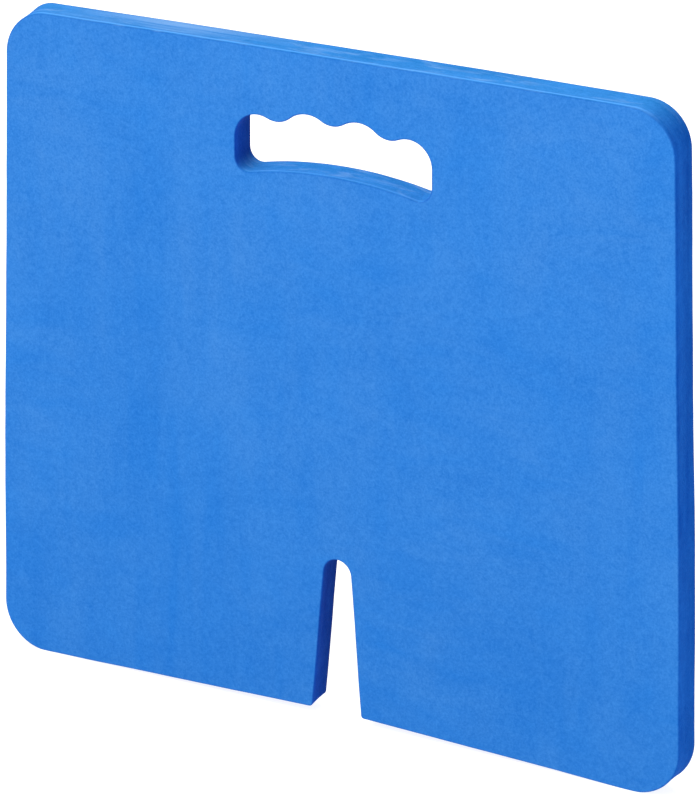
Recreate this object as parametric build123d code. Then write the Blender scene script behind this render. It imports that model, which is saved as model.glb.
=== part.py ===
from build123d import *
import math
import os

# A die-cut kickboard float: one slab of closed-cell foam, standing upright on its bottom edge.
# X is its width, Y its thickness with the front face towards -Y, and Z its height, from the two
# feet at the ends of its bottom edge. All dimensions are in millimetres.

# Slab
bottom_width = 400.0
top_width = 380.0
height = 352.0
thickness = 18.0
corner_radius = 24.5
bottom_hollow = 4.4  # the bottom edge arches up this far between the two feet
top_crown = 0.5  # the top edge bows up this far between its corners
edge_round = 0.8  # softened edges of the cut

# Hand-hold: four finger arches along its top, upright ends and a gently arched bottom
hold_centre = 2.6
hold_length = 113.4
hold_bottom = 285.4
hold_bottom_rise = 4.8
hold_corner_radius = 7.9
outer_arch_radius = 14.0
outer_arch_top = 316.9
inner_arch_radius = 16.2
inner_arch_top = 321.1
inner_arch_spacing = 29.0
ridge_radius = 12.3  # the rounded ridges between the fingers

# Notch: a tapered slot up from the bottom edge, with a round top
notch_centre = 5.3
notch_top = 88.7
notch_round_radius = 8.3
notch_mouth_width = 30.2
notch_mouth_radius = 2.0


def heading(start, end):
    """The angle of the way from one point to another, in degrees."""
    return math.degrees(math.atan2(end[1] - start[1], end[0] - start[0]))


def centre_distance(half_spread, rise):
    """How far a wide arc's centre is from the two small arcs' centres that it touches."""
    return (half_spread**2 + rise**2) / (2 * rise)


def arc(centre, radius, start, end):
    """An arc that turns anticlockwise from one angle to another."""
    return CenterArc(centre, radius, start, (end - start) % 360)


def hollow_arc(centre, radius, start, end):
    """An arc that turns clockwise from one angle to another."""
    return CenterArc(centre, radius, start, -((start - end) % 360))


def joined(arcs):
    """The face inside a ring of arcs, with straight lines where one doesn't start at the last one's end."""
    edges = []
    for this, following in zip(arcs, arcs[1:] + arcs[:1]):
        edges.append(this)
        if (this @ 1 - following @ 0).length > 0.001:
            edges.append(Line(this @ 1, following @ 0))
    return make_face(edges)


def notch_side(mouth, top):
    """The angle from the notch's round top to where its right side starts."""
    gap = math.dist(top, mouth)
    return heading(top, mouth) + math.degrees(
        math.acos((notch_round_radius + notch_mouth_radius) / gap)
    )


def slab_outline():
    """Rounded corners, tapered sides, a crowned top, and a hollow bottom with the notch in it."""
    foot = bottom_width / 2 - corner_radius
    shoulder = top_width / 2 - corner_radius
    shoulder_height = height - top_crown - corner_radius
    side = math.degrees(math.atan2(foot - shoulder, shoulder_height - corner_radius))
    crown_reach = centre_distance(shoulder, top_crown)
    hollow_reach = centre_distance(foot, bottom_hollow)
    crown_radius = crown_reach + corner_radius
    hollow_radius = hollow_reach - corner_radius
    crown = (0, height - crown_radius)
    hollow = (0, bottom_hollow - hollow_radius)
    right_foot, left_foot = (foot, corner_radius), (-foot, corner_radius)
    right_shoulder, left_shoulder = (shoulder, shoulder_height), (-shoulder, shoulder_height)

    mouth_reach = hollow_radius + notch_mouth_radius
    mouth_offset = notch_mouth_width / 2 + notch_mouth_radius
    mouths = []
    for side_sign in (1, -1):
        x = notch_centre + side_sign * mouth_offset
        mouths.append((x, hollow[1] + math.sqrt(mouth_reach**2 - x**2)))
    right_mouth, left_mouth = mouths
    notch_round = (notch_centre, notch_top - notch_round_radius)
    right_side = notch_side(right_mouth, notch_round)
    mirrored_mouth = (2 * notch_centre - left_mouth[0], left_mouth[1])
    left_side = 180 - notch_side(mirrored_mouth, notch_round)

    return joined([
        arc(right_mouth, notch_mouth_radius, right_side + 180, heading(right_mouth, hollow)),
        hollow_arc(hollow, hollow_radius, heading(hollow, right_mouth), heading(hollow, right_foot)),
        arc(right_foot, corner_radius, heading(right_foot, hollow), side),
        arc(right_shoulder, corner_radius, side, heading(crown, right_shoulder)),
        arc(crown, crown_radius, heading(crown, right_shoulder), heading(crown, left_shoulder)),
        arc(left_shoulder, corner_radius, heading(crown, left_shoulder), 180 - side),
        arc(left_foot, corner_radius, 180 - side, heading(left_foot, hollow)),
        hollow_arc(hollow, hollow_radius, heading(hollow, left_foot), heading(hollow, left_mouth)),
        arc(left_mouth, notch_mouth_radius, heading(left_mouth, hollow), left_side - 180),
        hollow_arc(notch_round, notch_round_radius, left_side, right_side),
    ])


def ridge_centre(right, right_radius, left, left_radius):
    """The centre of the ridge that hangs between two finger arches and touches both."""
    gap = math.dist(right, left)
    to_right = right_radius + ridge_radius
    to_left = left_radius + ridge_radius
    along = (to_right**2 - to_left**2 + gap**2) / (2 * gap)
    above = math.sqrt(to_right**2 - along**2)
    turn = math.radians(heading(right, left))
    return (
        right[0] + along * math.cos(turn) + above * math.sin(turn),
        right[1] + along * math.sin(turn) - above * math.cos(turn),
    )


def hand_hold_outline():
    """Four finger arches with ridges between them, upright ends and an arched bottom."""
    outer = hold_length / 2 - outer_arch_radius
    inner = inner_arch_spacing / 2
    arches = [
        ((hold_centre + outer, outer_arch_top - outer_arch_radius), outer_arch_radius),
        ((hold_centre + inner, inner_arch_top - inner_arch_radius), inner_arch_radius),
        ((hold_centre - inner, inner_arch_top - inner_arch_radius), inner_arch_radius),
        ((hold_centre - outer, outer_arch_top - outer_arch_radius), outer_arch_radius),
    ]
    corner = hold_length / 2 - hold_corner_radius
    corner_height = hold_bottom + hold_corner_radius
    right_corner = (hold_centre + corner, corner_height)
    left_corner = (hold_centre - corner, corner_height)
    bottom_radius = centre_distance(corner, hold_bottom_rise) - hold_corner_radius
    bottom = (hold_centre, hold_bottom + hold_bottom_rise - bottom_radius)

    ring = [arc(right_corner, hold_corner_radius, heading(right_corner, bottom), 0)]
    start = 0
    for (centre, radius), (next_centre, next_radius) in zip(arches, arches[1:]):
        ridge = ridge_centre(centre, radius, next_centre, next_radius)
        ring.append(arc(centre, radius, start, heading(centre, ridge)))
        ring.append(
            hollow_arc(ridge, ridge_radius, heading(ridge, centre), heading(ridge, next_centre))
        )
        start = heading(next_centre, ridge)
    ring.append(arc(arches[-1][0], outer_arch_radius, start, 180))
    ring.append(arc(left_corner, hold_corner_radius, 180, heading(left_corner, bottom)))
    ring.append(
        hollow_arc(bottom, bottom_radius, heading(bottom, left_corner), heading(bottom, right_corner))
    )
    return joined(ring)


def foam_board():
    """The slab with both cut-outs and its edges softened."""
    profile = slab_outline() - hand_hold_outline()
    slab = extrude(Plane.XZ * profile, thickness / 2, both=True)
    faces = slab.faces().filter_by(Axis.Y)
    board = fillet(faces.edges(), edge_round)
    board.label = "foam_board"
    return board


os.makedirs("parts", exist_ok=True)
export_step(foam_board(), "parts/foam_board.step")
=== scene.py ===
import math

import bmesh
import bpy
import numpy as np
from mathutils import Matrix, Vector, noise
from mathutils.geometry import delaunay_2d_cdt


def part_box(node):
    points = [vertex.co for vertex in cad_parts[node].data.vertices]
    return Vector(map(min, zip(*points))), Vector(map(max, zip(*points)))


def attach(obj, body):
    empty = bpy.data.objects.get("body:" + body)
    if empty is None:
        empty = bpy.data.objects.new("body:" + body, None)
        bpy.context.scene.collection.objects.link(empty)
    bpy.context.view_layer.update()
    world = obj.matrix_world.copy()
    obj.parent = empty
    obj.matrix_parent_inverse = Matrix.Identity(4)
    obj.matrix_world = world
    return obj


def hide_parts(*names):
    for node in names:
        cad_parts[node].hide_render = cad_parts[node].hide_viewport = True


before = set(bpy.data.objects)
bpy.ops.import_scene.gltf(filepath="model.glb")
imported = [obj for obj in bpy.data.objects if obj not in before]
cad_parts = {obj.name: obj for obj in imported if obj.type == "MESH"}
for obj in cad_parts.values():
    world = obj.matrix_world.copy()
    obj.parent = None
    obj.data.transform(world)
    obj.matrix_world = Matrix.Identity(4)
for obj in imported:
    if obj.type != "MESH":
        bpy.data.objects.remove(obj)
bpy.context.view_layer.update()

# A die-cut slab of closed-cell foam, standing on its bottom edge. Lengths are in metres.
# X is its width, Y its thickness with the front face towards -Y, and Z its height.

low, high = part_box("foam_board")
size = high - low
middle = (low + high) / 2

# Outline of the slab. It, the hand-hold and the notch are as in the CAD part, but for the notch's mouth.
top_width = 0.380
corner_radius = 0.0245
bottom_hollow = 0.0044
top_crown = 0.0005

# Hand-hold
hold_centre = 0.0026
hold_length = 0.1134
hold_bottom = 0.2854
hold_bottom_rise = 0.0048
hold_corner_radius = 0.0079
outer_arch_radius = 0.014
outer_arch_top = 0.3169
inner_arch_radius = 0.0162
inner_arch_top = 0.3211
inner_arch_spacing = 0.029
ridge_radius = 0.0123

# Notch
notch_centre = 0.0053
notch_top = 0.0887
notch_round_radius = 0.0083
notch_mouth_width = 0.0302
notch_mouth_radius = 0.002
right_mouth_radius = 0.0013  # the mouth's right corner is tighter than in the CAD part
right_mouth_inset = 0.0008  # and is this much nearer the notch's middle

# How the foam departs from a perfect slab
front_edge_round = 0.0008  # the blade went in here and pulled the edge in a little
back_edge_round = 0.0005
slab_spring = 0.0003  # how far the foam has sprung out past its outline since it was cut
hand_hold_spring = 0.0006
side_bulge = 0.0006  # the most that each upright side stands out beyond its straight line
side_bulge_height = 0.125
side_bulge_reach = 0.11
left_sag = 0.001  # the most that each half of the bottom edge hangs below its hollow arc
right_sag = 0.0006
wall_dish = 0.00025  # a cut wall is slightly hollow, because foam bulges under the blade
face_swell = 0.00022  # how far a face rises and falls, and a cut edge strays from its line
outline_wander = 0.00018
face_waves = ((0.11, 1, 0), (0.038, 0.45, 7), (0.014, 0.14, 13))  # length, strength and seed of each
edge_waves = ((0.045, 1, 11), (0.012, 0.4, 17))
front_seed = 3
back_seed = 29
hand_hold_lean = Vector((-0.0019, 0.0006))  # how far a cut-out has shifted in X and Z by the back face
notch_lean = Vector((-0.0022, 0))
notch_lean_reach = 0.02  # the edge beside the notch goes along with it, less and less up to here
left_corner_tightening = 0.006  # how much smaller a top corner's radius is by the back face
right_corner_tightening = 0.002
arch_tightening = 0.005  # the same for the hand-hold's left arch
top_slant = 0.001  # how much lower the top edge is at the front
corner_reach = 0.05  # how far past a corner its neighbours still slide along with it
arch_reach = 0.009

# Colours of the foam's skin, with tints for its warmer and cooler patches, and painted shade at its bottom
# and painted light at its top
skin_deep = (0.0150, 0.1335, 0.464, 1)
skin_pale = (0.0400, 0.1995, 0.560, 1)
warm_tint = (1.28, 1.045, 0.995, 1)
cool_tint = (0.76, 0.955, 1.005, 1)
painted_low_shade = (0.79, 0.895, 0.93, 1)
painted_high_light = (1.06, 1.04, 1.03, 1)

# Colours of the cut walls: the cut foam's deeper blue with painted shade in it. Painted shade darkens them
# to the back, most in the cut-outs.
wall_deep = (0.0015, 0.0560, 0.325, 1)
wall_pale = (0.0075, 0.0950, 0.425, 1)
outer_front_painted_shade = (1.06, 1.06, 1.06, 1)
outer_back_painted_shade = (0.88, 0.88, 0.90, 1)
inner_front_painted_shade = (0.90, 0.77, 0.99, 1)
inner_back_painted_shade = (0.55, 0.40, 0.56, 1)
back_rim_painted_shade = 0.78  # painted shade: the rounded edge at the back is darker still, and so is the back face
back_rim_width = 0.0016

# Colours of the cut walls that face up, paler as painted light, with scuffs, a painted sheen and a painted
# highlight line
lit_upward_deep = (0.0120, 0.1430, 0.420, 1)
lit_upward_pale = (0.0310, 0.1980, 0.545, 1)
upward_sharpness = 3  # how soon a wall stops counting as one that faces up, as it turns away
inner_upward_painted_light = 1.16  # painted light: brighter in the hand-hold
# Painted sheen on the left part of the top edge, in this colour, which the scuffs share
sheen_and_scuff_colour = (0.130, 0.285, 0.565, 1)
sheen_middle = -0.093  # along the top edge
sheen_reach = 0.075
scuff_strength = 0.6
# A painted highlight line along the front edge of the walls that face up
front_highlight_colour = (0.070, 0.275, 0.680, 1)
front_highlight_depth = 0.0017  # of the painted highlight line along the front edge, from the front face
front_highlight_width = 0.0014
front_highlight_range = (0.55, 0.95)  # how upward a wall is where the line starts, and where it is at full strength
inner_front_highlight = 0.5  # its strength in the cut-outs

# Patterns in the foam, in patches to the metre, with three numbers where they are drawn out along an axis
cloud_scale = 22
patch_scale = 24
region_scale = 7  # of regions with upright streaks, and others with level smudges
streak_scales = (50, 50, 5)
smudge_scales = (14, 14, 55)
fuzz_scale = 240
grain_scale = 850
blade_scales = (10, 170, 10)
smear_scales = (75, 110, 75)
scuff_scales = (45, 190, 45)
cell_scale = 900
plain = 0.5  # the middle of a pattern, where it changes nothing

# The part of a pattern's range that is spread out, because noise seldom comes near 0 or 1
region_range = (0.40, 0.60)
cloud_range = (0.3, 0.7)
blade_range = (0.38, 0.62)
scuff_range = (0.52, 0.72)

# Surface of the foam
least_roughness = 0.70
most_roughness = 0.82
foam_gloss = 0.012
grain_depth = 0.00007
grain_strength = 0.5
cell_depth = 0.00012

# Mesh resolution
outline_step = 0.0016
fewest_arc_steps = 3
face_step = 0.0024
rim_width = 0.0012  # from the outline in to the first row of face points, less than any outer radius
edge_steps = 5
wall_steps = 8
merge_distance = 1e-7
join_angle = 0.7  # in radians: the most that two triangles, and the quad that they make, may be askew
edge_layers = ("cut_wall", "upward_wall", "inner_wall")  # how much of each a point is, from 0 to 1

# Floor, which is flat and then curves up into a low wall
floor_flat_radius = 4.5
floor_curve_radius = 1.6
floor_wall_height = 3.0
floor_middle_radius = 0.5  # of the single face in its middle
floor_sides = 96
floor_curve_steps = 12
floor_grey = (0.35, 0.35, 0.35, 1)
floor_roughness = 0.9
floor_gloss = 0.1
floor_glow = 0.85

# Lights
white = (1, 1, 1, 1)
surround_strength = 0.5
sun_strength = 2.0
sun_softness = math.radians(50)
key_direction = (-0.30, -0.50, 0.81)
back_direction = (-0.35, 0.50, 0.79)

# Camera, level with its roll, aimed at a point near the middle of the slab
camera_azimuth = math.radians(30.5)
camera_elevation = math.radians(19.89)
camera_distance = 2.278
camera_lens = 204.3  # millimetres
camera_aim = middle + Vector((0.0077, 0, -0.0035))
camera_clip_start = 0.05


# ---------------------------------------------------------------- outlines

def heading(start, end):
    """The angle of the way from one point to another."""
    return math.atan2(end[1] - start[1], end[0] - start[0])


def centre_distance(half_spread, rise):
    """How far a wide arc's centre is from the two small arcs' centres that it touches."""
    return (half_spread**2 + rise**2) / (2 * rise)


def arc(centre, radius, start, end):
    """An arc that turns anticlockwise: its centre, radius, first angle and turn."""
    return Vector(centre), radius, start, (end - start) % math.tau


def hollow_arc(centre, radius, start, end):
    """An arc that turns clockwise, so its turn is negative."""
    return Vector(centre), radius, start, -((start - end) % math.tau)


def notch_side(mouth, mouth_radius, top):
    """The angle from the centre of the notch's round top to where its right side starts."""
    gap = math.dist(top, mouth)
    return heading(top, mouth) + math.acos((notch_round_radius + mouth_radius) / gap)


def slab_outline():
    """Rounded corners, tapered sides, a crowned top, and a hollow bottom with the notch in it."""
    foot = size.x / 2 - corner_radius
    shoulder = top_width / 2 - corner_radius
    shoulder_height = size.z - top_crown - corner_radius
    side = math.atan2(foot - shoulder, shoulder_height - corner_radius)
    crown_radius = centre_distance(shoulder, top_crown) + corner_radius
    hollow_radius = centre_distance(foot, bottom_hollow) - corner_radius
    crown = (0, size.z - crown_radius)
    hollow = (0, bottom_hollow - hollow_radius)
    right_foot, left_foot = (foot, corner_radius), (-foot, corner_radius)
    right_shoulder, left_shoulder = (shoulder, shoulder_height), (-shoulder, shoulder_height)

    mouth_corners = []
    for way, radius, inset in ((1, right_mouth_radius, right_mouth_inset), (-1, notch_mouth_radius, 0)):
        x = notch_centre + way * (notch_mouth_width / 2 + radius - inset)
        mouth_corners.append((x, hollow[1] + math.sqrt((hollow_radius + radius) ** 2 - x**2)))
    right_mouth, left_mouth = mouth_corners
    notch_round = (notch_centre, notch_top - notch_round_radius)
    right_side = notch_side(right_mouth, right_mouth_radius, notch_round)
    mirrored_mouth = (2 * notch_centre - left_mouth[0], left_mouth[1])
    left_side = math.pi - notch_side(mirrored_mouth, notch_mouth_radius, notch_round)

    return [
        arc(right_mouth, right_mouth_radius, right_side + math.pi, heading(right_mouth, hollow)),
        hollow_arc(hollow, hollow_radius, heading(hollow, right_mouth), heading(hollow, right_foot)),
        arc(right_foot, corner_radius, heading(right_foot, hollow), side),
        arc(right_shoulder, corner_radius, side, heading(crown, right_shoulder)),
        arc(crown, crown_radius, heading(crown, right_shoulder), heading(crown, left_shoulder)),
        arc(left_shoulder, corner_radius, heading(crown, left_shoulder), math.pi - side),
        arc(left_foot, corner_radius, math.pi - side, heading(left_foot, hollow)),
        hollow_arc(hollow, hollow_radius, heading(hollow, left_foot), heading(hollow, left_mouth)),
        arc(left_mouth, notch_mouth_radius, heading(left_mouth, hollow), left_side - math.pi),
        hollow_arc(notch_round, notch_round_radius, left_side, right_side),
    ]


def ridge_centre(right, right_radius, left, left_radius):
    """The centre of the ridge that hangs between two finger arches and touches both."""
    gap = math.dist(right, left)
    to_right = right_radius + ridge_radius
    to_left = left_radius + ridge_radius
    along = (to_right**2 - to_left**2 + gap**2) / (2 * gap)
    above = math.sqrt(to_right**2 - along**2)
    turn = heading(right, left)
    return (
        right[0] + along * math.cos(turn) + above * math.sin(turn),
        right[1] + along * math.sin(turn) - above * math.cos(turn),
    )


def hand_hold_outline():
    """Four finger arches with ridges between them, upright ends and an arched bottom."""
    outer = hold_length / 2 - outer_arch_radius
    inner = inner_arch_spacing / 2
    outer_height = outer_arch_top - outer_arch_radius
    inner_height = inner_arch_top - inner_arch_radius
    arches = [
        ((hold_centre + outer, outer_height), outer_arch_radius),
        ((hold_centre + inner, inner_height), inner_arch_radius),
        ((hold_centre - inner, inner_height), inner_arch_radius),
        ((hold_centre - outer, outer_height), outer_arch_radius),
    ]
    corner = hold_length / 2 - hold_corner_radius
    corner_height = hold_bottom + hold_corner_radius
    right_corner = (hold_centre + corner, corner_height)
    left_corner = (hold_centre - corner, corner_height)
    bottom_radius = centre_distance(corner, hold_bottom_rise) - hold_corner_radius
    bottom = (hold_centre, hold_bottom + hold_bottom_rise - bottom_radius)

    ring = [arc(right_corner, hold_corner_radius, heading(right_corner, bottom), 0)]
    start = 0
    for (centre, radius), (next_centre, next_radius) in zip(arches, arches[1:]):
        ridge = ridge_centre(centre, radius, next_centre, next_radius)
        to_next = heading(ridge, next_centre)
        ring.append(arc(centre, radius, start, heading(centre, ridge)))
        ring.append(hollow_arc(ridge, ridge_radius, heading(ridge, centre), to_next))
        start = heading(next_centre, ridge)
    ring.append(arc(arches[-1][0], outer_arch_radius, start, math.pi))
    ring.append(arc(left_corner, hold_corner_radius, math.pi, heading(left_corner, bottom)))
    to_left, to_right = heading(bottom, left_corner), heading(bottom, right_corner)
    ring.append(hollow_arc(bottom, bottom_radius, to_left, to_right))
    return ring


def traced(arcs):
    """Points along a ring of arcs joined by straight runs, and the direction to the right at each."""
    points, rights = [], []
    for (centre, radius, start, turn), following in zip(arcs, arcs[1:] + arcs[:1]):
        side = 1 if turn > 0 else -1
        steps = max(fewest_arc_steps, round(abs(turn) * radius / outline_step))
        for step in range(steps + 1):
            angle = start + turn * step / steps
            away = Vector((math.cos(angle), math.sin(angle)))
            points.append(centre + radius * away)
            rights.append(side * away)
        next_start = Vector((math.cos(following[2]), math.sin(following[2])))
        run = following[0] + following[1] * next_start - points[-1]
        if run.length < outline_step / 2:
            points.pop()
            rights.pop()
            continue
        steps = round(run.length / outline_step)
        last, right = points[-1], rights[-1]
        for step in range(1, steps):
            points.append(last + run * step / steps)
            rights.append(right)
    return np.array(points), np.array(rights)


def inside(points, ring):
    """Which points are inside a closed ring of points."""
    x, z = points[:, 0:1], points[:, 1:2]
    start, end = ring, np.roll(ring, -1, axis=0)
    spans = (start[:, 1] > z) != (end[:, 1] > z)
    rise = np.where(end[:, 1] == start[:, 1], 1, end[:, 1] - start[:, 1])
    crossing = start[:, 0] + (z - start[:, 1]) * (end[:, 0] - start[:, 0]) / rise
    return (spans & (x < crossing)).sum(axis=1) % 2 == 1


# ---------------------------------------------------------------- mesh

def wander(x, y, z, length, seed):
    """Smooth noise from about -1 to 1 that changes over that length, from another place for each seed."""
    return noise.noise(Vector((x / length + seed, y / length + 2.3 * seed, z / length - seed)))


def waves(x, y, z, parts, seed=0):
    """The sum of waves of noise, each with its own length, strength and seed."""
    return sum(strength * wander(x, y, z, length, seed + own) for length, strength, own in parts)


def swell(x, z, seed):
    """How far a face stands proud of flat: broad swells with smaller ones on them."""
    return face_swell * waves(x, 0, z, face_waves, seed)


def edge_profile():
    """The section through a cut edge, front to back: inset from the outline, place in Y, share of wall."""
    front, back = -size.y / 2, size.y / 2
    section = [(rim_width, front, 0)]
    for step in range(edge_steps + 1):
        turn = math.pi / 2 * step / edge_steps
        inset = front_edge_round * (1 - math.sin(turn))
        section.append((inset, front + front_edge_round * (1 - math.cos(turn)), math.sin(turn)))
    wall_front, wall_back = front + front_edge_round, back - back_edge_round
    for step in range(1, wall_steps):
        across = step / wall_steps
        inset = wall_dish * 4 * across * (1 - across)
        section.append((inset, wall_front + (wall_back - wall_front) * across, 1))
    for step in range(edge_steps, -1, -1):
        turn = math.pi / 2 * step / edge_steps
        inset = back_edge_round * (1 - math.sin(turn))
        section.append((inset, back - back_edge_round * (1 - math.cos(turn)), math.sin(turn)))
    section.append((rim_width, back, 0))
    return section


def placed(x, y, z):
    """A point of the perfect slab, moved with the swells of its two faces."""
    share = y / size.y + 0.5
    forward = (1 - share) * swell(x, z, front_seed)
    backward = share * swell(x, z, back_seed)
    return Vector((x, y - forward + backward, z))


def notch_share(x, z):
    """How much a point of the slab's edge belongs to the notch, from 0 to 1."""
    if z > notch_top + notch_lean_reach:
        return 0
    beside = abs(x - notch_centre) - notch_mouth_width / 2 - notch_mouth_radius
    return 1 - min(max(beside / notch_lean_reach, 0), 1)


def edge_wander(x, y, z):
    """How far a cut edge strays inside its line."""
    return outline_wander * waves(x, y, z, edge_waves)


def bulge(x, z):
    """How far a point of the slab's edge stands out sideways, to the right."""
    height = (z - side_bulge_height) / side_bulge_reach
    if abs(height) > 1 or abs(x) < top_width / 2 - corner_radius:
        return 0
    return math.copysign(side_bulge * math.cos(height * math.pi / 2) ** 2, x)


def tightened(x, z, away, centre, side, reach):
    """How a point slides for each metre that a corner's radius shrinks. side is 1 if it's a right one."""
    past = max(side * (centre[0] - x), centre[1] - z, 0)
    return max(0, 1 - past / reach) * (Vector((side, 1)) - Vector(away))


def sagged(x, away):
    """How far a point of the bottom edge hangs down."""
    mouth, foot = notch_mouth_width / 2 + notch_mouth_radius, size.x / 2 - corner_radius
    along = min(max((abs(x - notch_centre) - mouth) / (foot - mouth), 0), 1)
    most = left_sag if x < notch_centre else right_sag
    return most * 4 * along * (1 - along) * max(0, -away[1])


def slab_shifts(x, z, away):
    """How far, in X and Z, a point of the slab's outline has shifted at the front and at the back."""
    shoulder = top_width / 2 - corner_radius
    shoulder_height = size.z - top_crown - corner_radius
    left = tightened(x, z, away, (-shoulder, shoulder_height), -1, corner_reach)
    right = tightened(x, z, away, (shoulder, shoulder_height), 1, corner_reach)
    front = Vector((0, -sagged(x, away)))
    back = front + left_corner_tightening * left + right_corner_tightening * right
    if z > size.z / 2:
        front.y -= top_slant * max(0, away[1])
    return front, back + notch_lean * notch_share(x, z)


def hand_hold_shifts(x, z, away):
    """The same for a point of the hand-hold's outline."""
    arch = (hold_centre - hold_length / 2 + outer_arch_radius, outer_arch_top - outer_arch_radius)
    return Vector((0, 0)), hand_hold_lean + arch_tightening * tightened(x, z, away, arch, -1, arch_reach)


def add_edge(bm, ring, into, shifts, spring, inner):
    """The wall along one outline with both its rounded edges: rows of points from front to back."""
    cut_wall, upward_wall, inner_wall = bm.verts.layers.float.values()
    rows = []
    for inset, y, share in edge_profile():
        row = []
        for (x, z), (into_x, into_z), (front, back), cut_out in zip(ring, into, shifts, inner):
            depth = inset + edge_wander(x, y, z) - spring
            shift = front.lerp(back, y / size.y + 0.5)
            x_here = x + into_x * depth + shift[0] + bulge(x, z)
            vert = bm.verts.new(placed(x_here, y, z + into_z * depth + shift[1]))
            vert[cut_wall] = share
            # how much a point is a wall that faces up, which the material paints lighter as painted light
            vert[upward_wall] = share * max(0, -into_z) ** upward_sharpness
            vert[inner_wall] = cut_out
            row.append(vert)
        rows.append(row)
    for row, following in zip(rows, rows[1:]):
        for i in range(len(row)):
            bm.faces.new((row[i - 1], following[i - 1], following[i], row[i]))
    return rows


def face_grid(outer, hold):
    """Evenly spaced points over the face, inside one ring and outside the other."""
    xs = np.arange(-size.x / 2, size.x / 2, face_step)
    zs = np.arange(0, size.z, face_step)
    grid = np.array([(x, z) for z in zs for x in xs])
    return grid[inside(grid, outer) & ~inside(grid, hold)]


def face_triangles(points, loops):
    """Triangles over the face that use every point and follow its loops."""
    edges = []
    start = 0
    for loop in loops:
        count = len(loop)
        edges += [(start + i, start + (i + 1) % count) for i in range(count)]
        start += count
    flat = [Vector(p) for p in points]
    inside_edges = 1  # the kind of output that has no triangles outside the loops
    made = delaunay_2d_cdt(flat, edges, [], inside_edges, merge_distance)
    triangles = np.array(made[2])
    centres = points[triangles].mean(axis=1)
    kept = inside(centres, loops[0]) & ~inside(centres, loops[1])
    return triangles[kept]


def add_face(bm, walls, intos, end, y):
    """One face of the slab, between the rows of points at that end of its walls."""
    loops = [np.array([(v.co.x, v.co.z) for v in wall[end]]) for wall in walls]
    grid = face_grid(*[loop + into * face_step / 2 for loop, into in zip(loops, intos)])
    triangles = face_triangles(np.concatenate([*loops, grid]), loops)
    verts = [v for wall in walls for v in wall[end]]
    for x, z in grid:
        verts.append(bm.verts.new(placed(x, y, z)))
    faces = [bm.faces.new([verts[i] for i in triangle]) for triangle in triangles]
    limits = {"angle_face_threshold": join_angle, "angle_shape_threshold": join_angle}
    bmesh.ops.join_triangles(bm, faces=faces, **limits)


def foam_board():
    """The slab with both cut-outs as one closed mesh."""
    outer, outer_right = traced(slab_outline())
    hold, hold_right = traced(hand_hold_outline())
    intos = [-outer_right, hold_right]
    outer_shifts = [
        slab_shifts(*point, away) for point, away in zip(outer.tolist(), outer_right.tolist())
    ]
    hold_shifts = [
        hand_hold_shifts(*point, away) for point, away in zip(hold.tolist(), hold_right.tolist())
    ]
    in_notch = [float(notch_share(x, z) == 1) for x, z in outer]
    in_hold = [1.0] * len(hold)

    bm = bmesh.new()
    for name in edge_layers:
        bm.verts.layers.float.new(name)
    walls = [
        add_edge(bm, outer, intos[0], outer_shifts, slab_spring, in_notch),
        add_edge(bm, hold, intos[1], hold_shifts, hand_hold_spring, in_hold),
    ]
    add_face(bm, walls, intos, 0, -size.y / 2)
    add_face(bm, walls, intos, -1, size.y / 2)
    bmesh.ops.recalc_face_normals(bm, faces=bm.faces)
    mesh = bpy.data.meshes.new("foam_board_shell")
    bm.to_mesh(mesh)
    bm.free()
    mesh.shade_smooth()
    board = bpy.data.objects.new("foam_board_shell", mesh)
    board.location.z = low.z
    bpy.context.scene.collection.objects.link(board)
    return board


# ---------------------------------------------------------------- materials

def add(tree, kind, inputs=(), **settings):
    """A node of that kind. Its inputs are numbers, colours or other nodes' outputs."""
    node = tree.nodes.new("ShaderNode" + kind)
    for name, value in settings.items():
        setattr(node, name, value)
    for name, value in dict(inputs).items():
        if isinstance(value, bpy.types.NodeSocket):
            tree.links.new(value, node.inputs[name])
        else:
            node.inputs[name].default_value = value
    return node


def pattern(tree, place, scale, detail=3, roughness=0.6, distortion=0, offset=0):
    """A noise socket from 0 to 1, with that many patches to the metre along each axis."""
    scales = (scale, scale, scale) if isinstance(scale, (int, float)) else scale
    shift = (offset, 2 * offset, 3 * offset)
    spread = add(tree, "Mapping", {"Vector": place, "Scale": scales, "Location": shift})
    inputs = {
        "Vector": spread.outputs["Vector"],
        "Scale": 1,
        "Detail": detail,
        "Roughness": roughness,
        "Distortion": distortion,
    }
    return add(tree, "TexNoise", inputs).outputs["Fac"]


def spread_out(tree, value, lowest, highest, to_low=0, to_high=1):
    """The value stretched from one range to another, and held within it."""
    inputs = {"Value": value, "From Min": lowest, "From Max": highest, "To Min": to_low, "To Max": to_high}
    return add(tree, "MapRange", inputs, clamp=True).outputs["Result"]


def maths(tree, operation, first, second):
    """Two numbers or sockets put together."""
    return add(tree, "Math", {0: first, 1: second}, operation=operation).outputs["Value"]


def nearness(tree, value, centre, reach):
    """1 where the value is at the centre, down to 0 at that reach from it."""
    gap = maths(tree, "ABSOLUTE", maths(tree, "SUBTRACT", value, centre), 0)
    return spread_out(tree, gap, 0, reach, 1, 0)


def toned(tree, weighted):
    """The sum of patterns, each with its weight, spread out from its middle to run from 0 to 1."""
    total = 0
    for value, weight in weighted:
        total = maths(tree, "ADD", total, maths(tree, "MULTIPLY", value, weight))
    half = sum(weight for value, weight in weighted) / 2
    return spread_out(tree, total, half - 0.5, half + 0.5)


def blended(tree, share, first, second):
    """The second number over the first."""
    return add(tree, "Mix", {0: share, 2: first, 3: second}).outputs[0]


def mixed(tree, share, first, second, blend_type="MIX"):
    """The second colour over the first."""
    inputs = {0: share, 6: first, 7: second}
    return add(tree, "Mix", inputs, data_type="RGBA", blend_type=blend_type).outputs[2]


def multiplied(tree, first, second):
    """Two colours multiplied."""
    return mixed(tree, 1, first, second, "MULTIPLY")


def shaded(tree, colour, strength):
    """The colour made darker or lighter."""
    levels = {"Red": strength, "Green": strength, "Blue": strength}
    return multiplied(tree, colour, add(tree, "CombineColor", levels).outputs["Color"])


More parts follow.
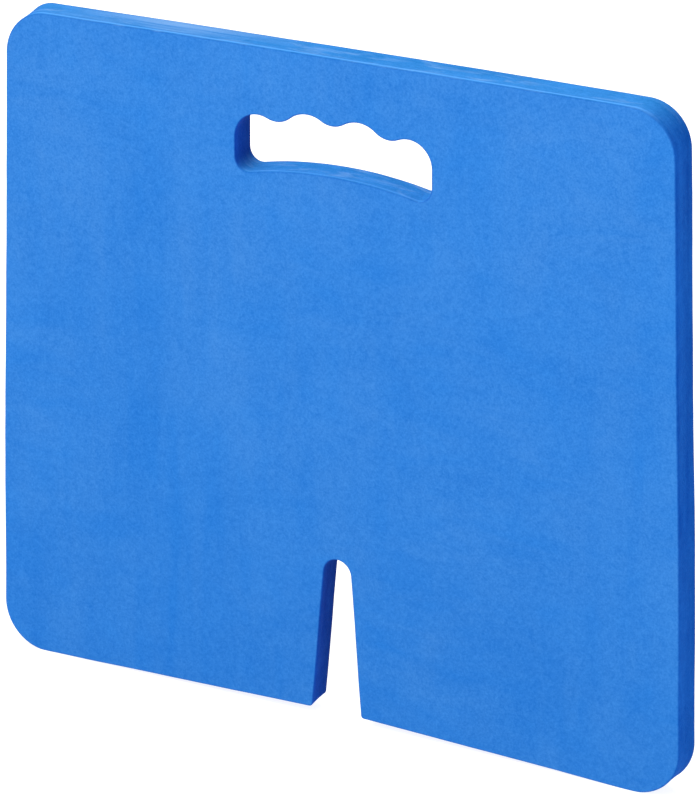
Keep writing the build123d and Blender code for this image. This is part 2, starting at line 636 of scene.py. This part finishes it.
def face_marks(tree, place):
    """Faint upright streaks in some regions of the foam, and level smudges in the others."""
    regions = pattern(tree, place, region_scale, detail=2, roughness=0.5, offset=41)
    streaked = spread_out(tree, regions, *region_range)
    streaks = pattern(tree, place, streak_scales, detail=2, distortion=0.4, offset=9)
    smudges = pattern(tree, place, smudge_scales, distortion=0.9, offset=27)
    return blended(tree, streaked, plain, streaks), blended(tree, streaked, smudges, plain)


def skin_colour(tree, height, tone, tint):
    """The slab's two faces, with painted shade: a little darker and cooler downwards."""
    painted_height_shade = mixed(tree, spread_out(tree, height, 0, size.z), painted_low_shade, painted_high_light)
    colour = mixed(tree, tone, skin_deep, skin_pale)
    return multiplied(tree, multiplied(tree, colour, tint), painted_height_shade)


def wall_colour(tree, back, inner, tone, tint):
    """The upright and hanging cut walls, deeper partly as painted shade, and darker towards the back as
    painted shade.
    """
    depth = spread_out(tree, back, -size.y / 2, size.y / 2)
    outer_painted_shade = mixed(tree, depth, outer_front_painted_shade, outer_back_painted_shade)
    inner_painted_shade = mixed(tree, depth, inner_front_painted_shade, inner_back_painted_shade)
    colour = mixed(tree, tone, wall_deep, wall_pale)
    colour = multiplied(tree, colour, mixed(tree, inner, outer_painted_shade, inner_painted_shade))
    return multiplied(tree, colour, tint)


def upward_colour(tree, place, blade, upward, inner, tone):
    """Upward cut walls in painted light, with a painted sheen, scuffs and a painted highlight line at the
    front.
    """
    axes = add(tree, "SeparateXYZ", {"Vector": place}).outputs
    # A painted sheen on the left of the top edge, outside the cut-outs, then the scuffs
    sheen_and_scuffs = nearness(tree, axes["X"], sheen_middle, sheen_reach)
    sheen_and_scuffs = maths(tree, "MULTIPLY", sheen_and_scuffs, spread_out(tree, blade, *blade_range))
    sheen_and_scuffs = maths(tree, "MULTIPLY", sheen_and_scuffs, maths(tree, "SUBTRACT", 1, inner))
    scuffs = pattern(tree, place, scuff_scales, distortion=0.5, offset=13)
    sheen_and_scuffs = maths(tree, "MAXIMUM", sheen_and_scuffs, spread_out(tree, scuffs, *scuff_range, 0, scuff_strength))
    colour = mixed(tree, sheen_and_scuffs, mixed(tree, tone, lit_upward_deep, lit_upward_pale), sheen_and_scuff_colour)

    # The painted highlight line along the front edge
    front_highlight = nearness(tree, axes["Y"], front_highlight_depth - size.y / 2, front_highlight_width)
    front_highlight = maths(tree, "MULTIPLY", front_highlight, blended(tree, inner, 1, inner_front_highlight))
    front_highlight = maths(tree, "MULTIPLY", front_highlight, spread_out(tree, upward, *front_highlight_range))
    colour = mixed(tree, front_highlight, colour, front_highlight_colour)
    return shaded(tree, colour, blended(tree, inner, 1, inner_upward_painted_light))


def foam_normal(tree, place, grain, wall):
    """Bumps: a fine grain all over, and open cells on the cut walls."""
    inputs = {"Height": grain, "Distance": grain_depth, "Strength": grain_strength}
    soft_skin = add(tree, "Bump", inputs).outputs["Normal"]
    cells = add(tree, "TexVoronoi", {"Vector": place, "Scale": cell_scale}).outputs["Distance"]
    inputs = {"Height": cells, "Distance": cell_depth, "Strength": wall, "Normal": soft_skin}
    return add(tree, "Bump", inputs).outputs["Normal"]


def foam_material():
    """Matte blue closed-cell foam: cloudy skin with a fine grain, and deeper, open-celled cut walls, with
    painted light and shade on both.
    """
    material = bpy.data.materials.new("blue_foam")
    material.use_nodes = True
    tree = material.node_tree
    shader = tree.nodes["Principled BSDF"]
    place = add(tree, "TexCoord").outputs["Object"]
    axes = add(tree, "SeparateXYZ", {"Vector": place}).outputs
    layers = [add(tree, "Attribute", attribute_name=name).outputs["Fac"] for name in edge_layers]
    wall, upward, inner = layers

    clouds = pattern(tree, place, cloud_scale, distortion=0.5)
    patches = pattern(tree, place, patch_scale, detail=4, distortion=0.4, offset=5)
    streaks, smudges = face_marks(tree, place)
    fuzz = pattern(tree, place, fuzz_scale, roughness=0.7)
    grain = pattern(tree, place, grain_scale, detail=1, roughness=0.8)
    blade = pattern(tree, place, blade_scales, detail=2, distortion=0.3, offset=3)
    smears = pattern(tree, place, smear_scales, distortion=0.6, offset=19)

    hue = toned(tree, [(patches, 1.5), (streaks, 1.9), (smudges, 1.4)])
    tint = mixed(tree, hue, cool_tint, warm_tint)
    tone = toned(tree, [(clouds, 0.55), (streaks, 0.30), (smudges, 0.25), (fuzz, 0.68), (grain, 1.30)])
    cut_tone = toned(tree, [(blade, 1.5), (smears, 1.1), (clouds, 0.8), (fuzz, 0.8), (grain, 1.0)])

    skin = skin_colour(tree, axes["Z"], tone, tint)
    cut = wall_colour(tree, axes["Y"], inner, cut_tone, tint)
    top = upward_colour(tree, place, blade, upward, inner, cut_tone)
    colour = mixed(tree, wall, skin, mixed(tree, upward, cut, top))
    back_face = size.y / 2
    # Painted shade over the rounded back edge and the back face
    painted_back_shade = spread_out(tree, axes["Y"], back_face - back_rim_width, back_face, 1, back_rim_painted_shade)
    tree.links.new(shaded(tree, colour, painted_back_shade), shader.inputs["Base Color"])

    roughness = spread_out(tree, clouds, *cloud_range, least_roughness, most_roughness)
    tree.links.new(roughness, shader.inputs["Roughness"])
    tree.links.new(foam_normal(tree, place, grain, wall), shader.inputs["Normal"])
    shader.inputs["Specular IOR Level"].default_value = foam_gloss
    return material


def floor_material():
    """Plain white floor, lit from below as well, like a light table."""
    material = bpy.data.materials.new("studio_floor")
    material.use_nodes = True
    shader = material.node_tree.nodes["Principled BSDF"]
    shader.inputs["Base Color"].default_value = floor_grey
    shader.inputs["Roughness"].default_value = floor_roughness
    shader.inputs["Specular IOR Level"].default_value = floor_gloss
    shader.inputs["Emission Color"].default_value = white
    shader.inputs["Emission Strength"].default_value = floor_glow
    return material


# ---------------------------------------------------------------- stage, lights and camera

def studio_floor():
    """A round floor that curves up into a low wall, so that no view shows an edge."""
    section = [(floor_middle_radius, 0), (floor_flat_radius, 0)]
    for step in range(1, floor_curve_steps + 1):
        turn = math.pi / 2 * step / floor_curve_steps
        radius = floor_flat_radius + floor_curve_radius * math.sin(turn)
        section.append((radius, floor_curve_radius * (1 - math.cos(turn))))
    section.append((floor_flat_radius + floor_curve_radius, floor_wall_height))
    bm = bmesh.new()
    rows = []
    for radius, z in section:
        angles = [math.tau * i / floor_sides for i in range(floor_sides)]
        rows.append([bm.verts.new((radius * math.cos(a), radius * math.sin(a), z)) for a in angles])
    bm.faces.new(rows[0])
    for row, following in zip(rows, rows[1:]):
        for i in range(floor_sides):
            bm.faces.new((row[i], row[i - 1], following[i - 1], following[i]))
    mesh = bpy.data.meshes.new("studio_floor")
    bm.to_mesh(mesh)
    bm.free()
    mesh.shade_smooth()
    mesh.materials.append(floor_material())
    floor = bpy.data.objects.new("studio_floor", mesh)
    floor.location.z = low.z
    bpy.context.scene.collection.objects.link(floor)
    return floor


def add_sun(name, towards):
    """A soft sun that shines from that direction."""
    light = bpy.data.lights.new(name, "SUN")
    light.energy = sun_strength
    light.angle = sun_softness
    lamp = bpy.data.objects.new(name, light)
    lamp.rotation_euler = Vector(towards).to_track_quat("Z", "Y").to_euler()
    bpy.context.scene.collection.objects.link(lamp)


def light_studio():
    """Two equal soft suns, high on the left, one in front and one behind, and an even white surround."""
    world = bpy.data.worlds.new("studio")
    world.use_nodes = True
    background = world.node_tree.nodes["Background"]
    background.inputs["Color"].default_value = white
    background.inputs["Strength"].default_value = surround_strength
    bpy.context.scene.world = world
    add_sun("key_light", key_direction)
    add_sun("back_light", back_direction)
    bpy.context.scene.view_settings.view_transform = "Standard"


def add_camera():
    """The camera, turned to face its aim point from its azimuth and elevation."""
    lens = bpy.data.cameras.new("camera")
    lens.lens = camera_lens
    lens.clip_start = camera_clip_start
    camera = bpy.data.objects.new("camera", lens)
    across = math.cos(camera_elevation)
    back = Vector((
        across * math.sin(camera_azimuth),
        -across * math.cos(camera_azimuth),
        math.sin(camera_elevation),
    ))
    camera.location = camera_aim + camera_distance * back
    camera.rotation_euler = back.to_track_quat("Z", "Y").to_euler()
    bpy.context.scene.collection.objects.link(camera)
    bpy.context.scene.camera = camera


board = foam_board()
board.data.materials.append(foam_material())
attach(board, "root")
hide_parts("foam_board")

floor = studio_floor()
light_studio()
add_camera()
